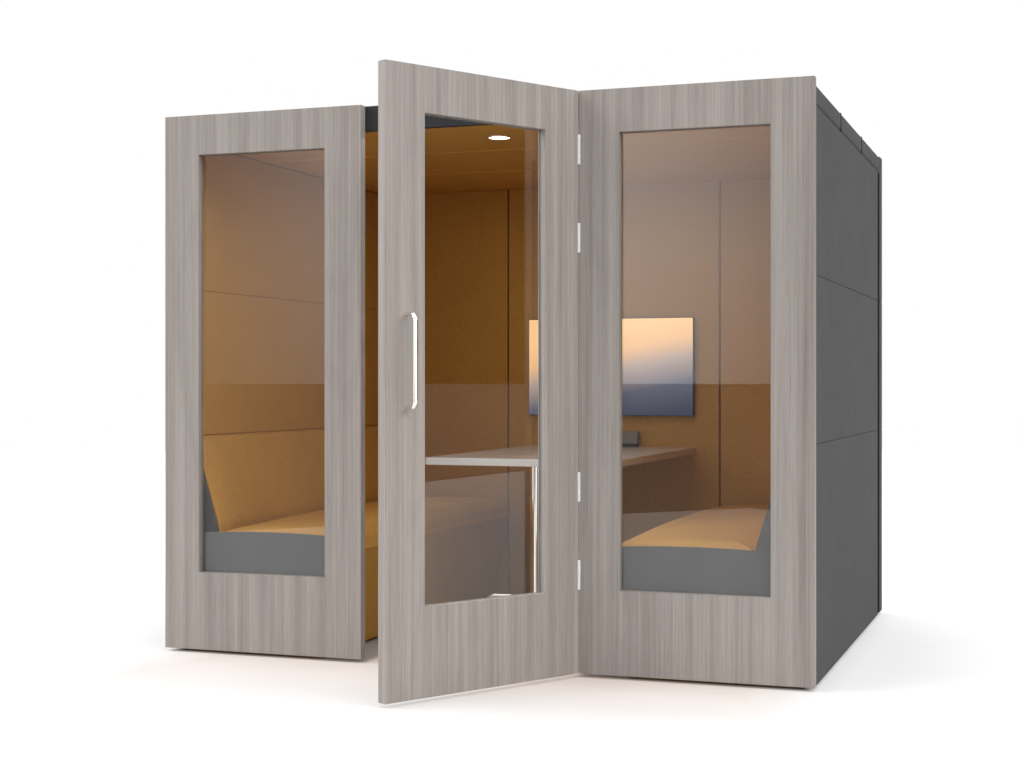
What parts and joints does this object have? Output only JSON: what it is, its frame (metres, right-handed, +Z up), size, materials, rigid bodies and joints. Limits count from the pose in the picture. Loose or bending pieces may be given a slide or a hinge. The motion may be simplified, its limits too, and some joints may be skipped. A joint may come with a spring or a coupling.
{
  "type": "acoustic office pod",
  "caption": "Enclosed acoustic meeting pod with upholstered walls, glazed wood-laminate front, hinged glazed door, facing benches, table, wall screen, ceiling light and fan.",
  "frame": {"origin": "on the floor, in the middle of the box that the pod and its open door take up", "axes": "+Z up, +Y from the glazed front to the rear wall, +X to the right seen from the front"},
  "size_m": [2.54, 2.7476, 2.1],
  "materials": {
    "wood_laminate": "grey-taupe wood laminate with fine vertical grain",
    "glass": "clear polished",
    "gasket_rubber": "matt mid grey",
    "chrome": "polished",
    "white_metal": "white satin",
    "grey_fabric": "woven dark grey upholstery",
    "mustard_fabric": "woven mustard upholstery",
    "table_laminate": "pale satin laminate",
    "black_plastic": "black satin",
    "grey_plastic": "grey satin",
    "dark_steel": "dark powder coat",
    "screen": "lit screen with a plain warm to blue-grey gradient",
    "light_lens": "lit opal diffuser"
  },
  "bodies": {
    "shell": {"left_front_panel": "wood_laminate", "left_glazing_gasket": "gasket_rubber", "left_glass": "glass", "right_front_panel": "wood_laminate", "right_glazing_gasket": "gasket_rubber", "right_glass": "glass", "hinge_1_frame_leaf": "white_metal", "hinge_2_frame_leaf": "white_metal", "hinge_3_frame_leaf": "white_metal", "hinge_4_frame_leaf": "white_metal", "left_wall_lower": "grey_fabric", "left_wall_middle": "grey_fabric", "left_wall_upper": "grey_fabric", "left_wall_lining": "mustard_fabric", "left_base_rail": "dark_steel", "right_wall_lower": "grey_fabric", "right_wall_middle": "grey_fabric", "right_wall_upper": "grey_fabric", "right_wall_lining": "mustard_fabric", "right_base_rail": "dark_steel", "rear_wall_lower": "grey_fabric", "rear_wall_middle": "grey_fabric", "rear_wall_upper": "grey_fabric", "rear_lining_left": "mustard_fabric", "rear_lining_centre": "mustard_fabric", "rear_lining_right": "mustard_fabric", "door_header": "dark_steel", "roof_panel_1": "grey_fabric", "roof_panel_2": "grey_fabric", "roof_panel_3": "grey_fabric", "ceiling_lining": "mustard_fabric", "left_bench_plinth": "mustard_fabric", "left_seat_cushion": "mustard_fabric", "left_back_cushion": "mustard_fabric", "left_bench_end": "grey_fabric", "right_bench_plinth": "mustard_fabric", "right_seat_cushion": "mustard_fabric", "right_back_cushion": "mustard_fabric", "right_bench_end": "grey_fabric", "table_top": "table_laminate", "table_column": "chrome", "table_foot": "chrome", "table_cleat": "dark_steel", "screen_housing": "black_plastic", "screen_pane": "screen", "power_module": "grey_plastic", "downlight_ring": "chrome", "downlight_lens": "light_lens", "fan_grille": "black_plastic"},
    "door": {"door_leaf": "wood_laminate", "door_glazing_gasket": "gasket_rubber", "door_glass": "glass", "pull_handle": "chrome", "handle_bolt_lower": "chrome", "handle_bolt_upper": "chrome", "hinge_1_door_leaf": "white_metal", "hinge_2_door_leaf": "white_metal", "hinge_3_door_leaf": "white_metal", "hinge_4_door_leaf": "white_metal"},
    "fan_rotor": {"fan_rotor": "black_plastic"}
  },
  "joints": [
    {"name": "door_swing", "type": "hinge", "parent": "shell", "child": "door", "pos_m": [0.431, -0.63447, 1.057], "axis": [0, 0, 1], "range_deg": [-60, 50]},
    {"name": "fan_spin", "type": "hinge", "parent": "shell", "child": "fan_rotor", "pos_m": [0.15, 0.33183, 2.031], "axis": [0, 0, 1], "continuous": true}
  ]
}
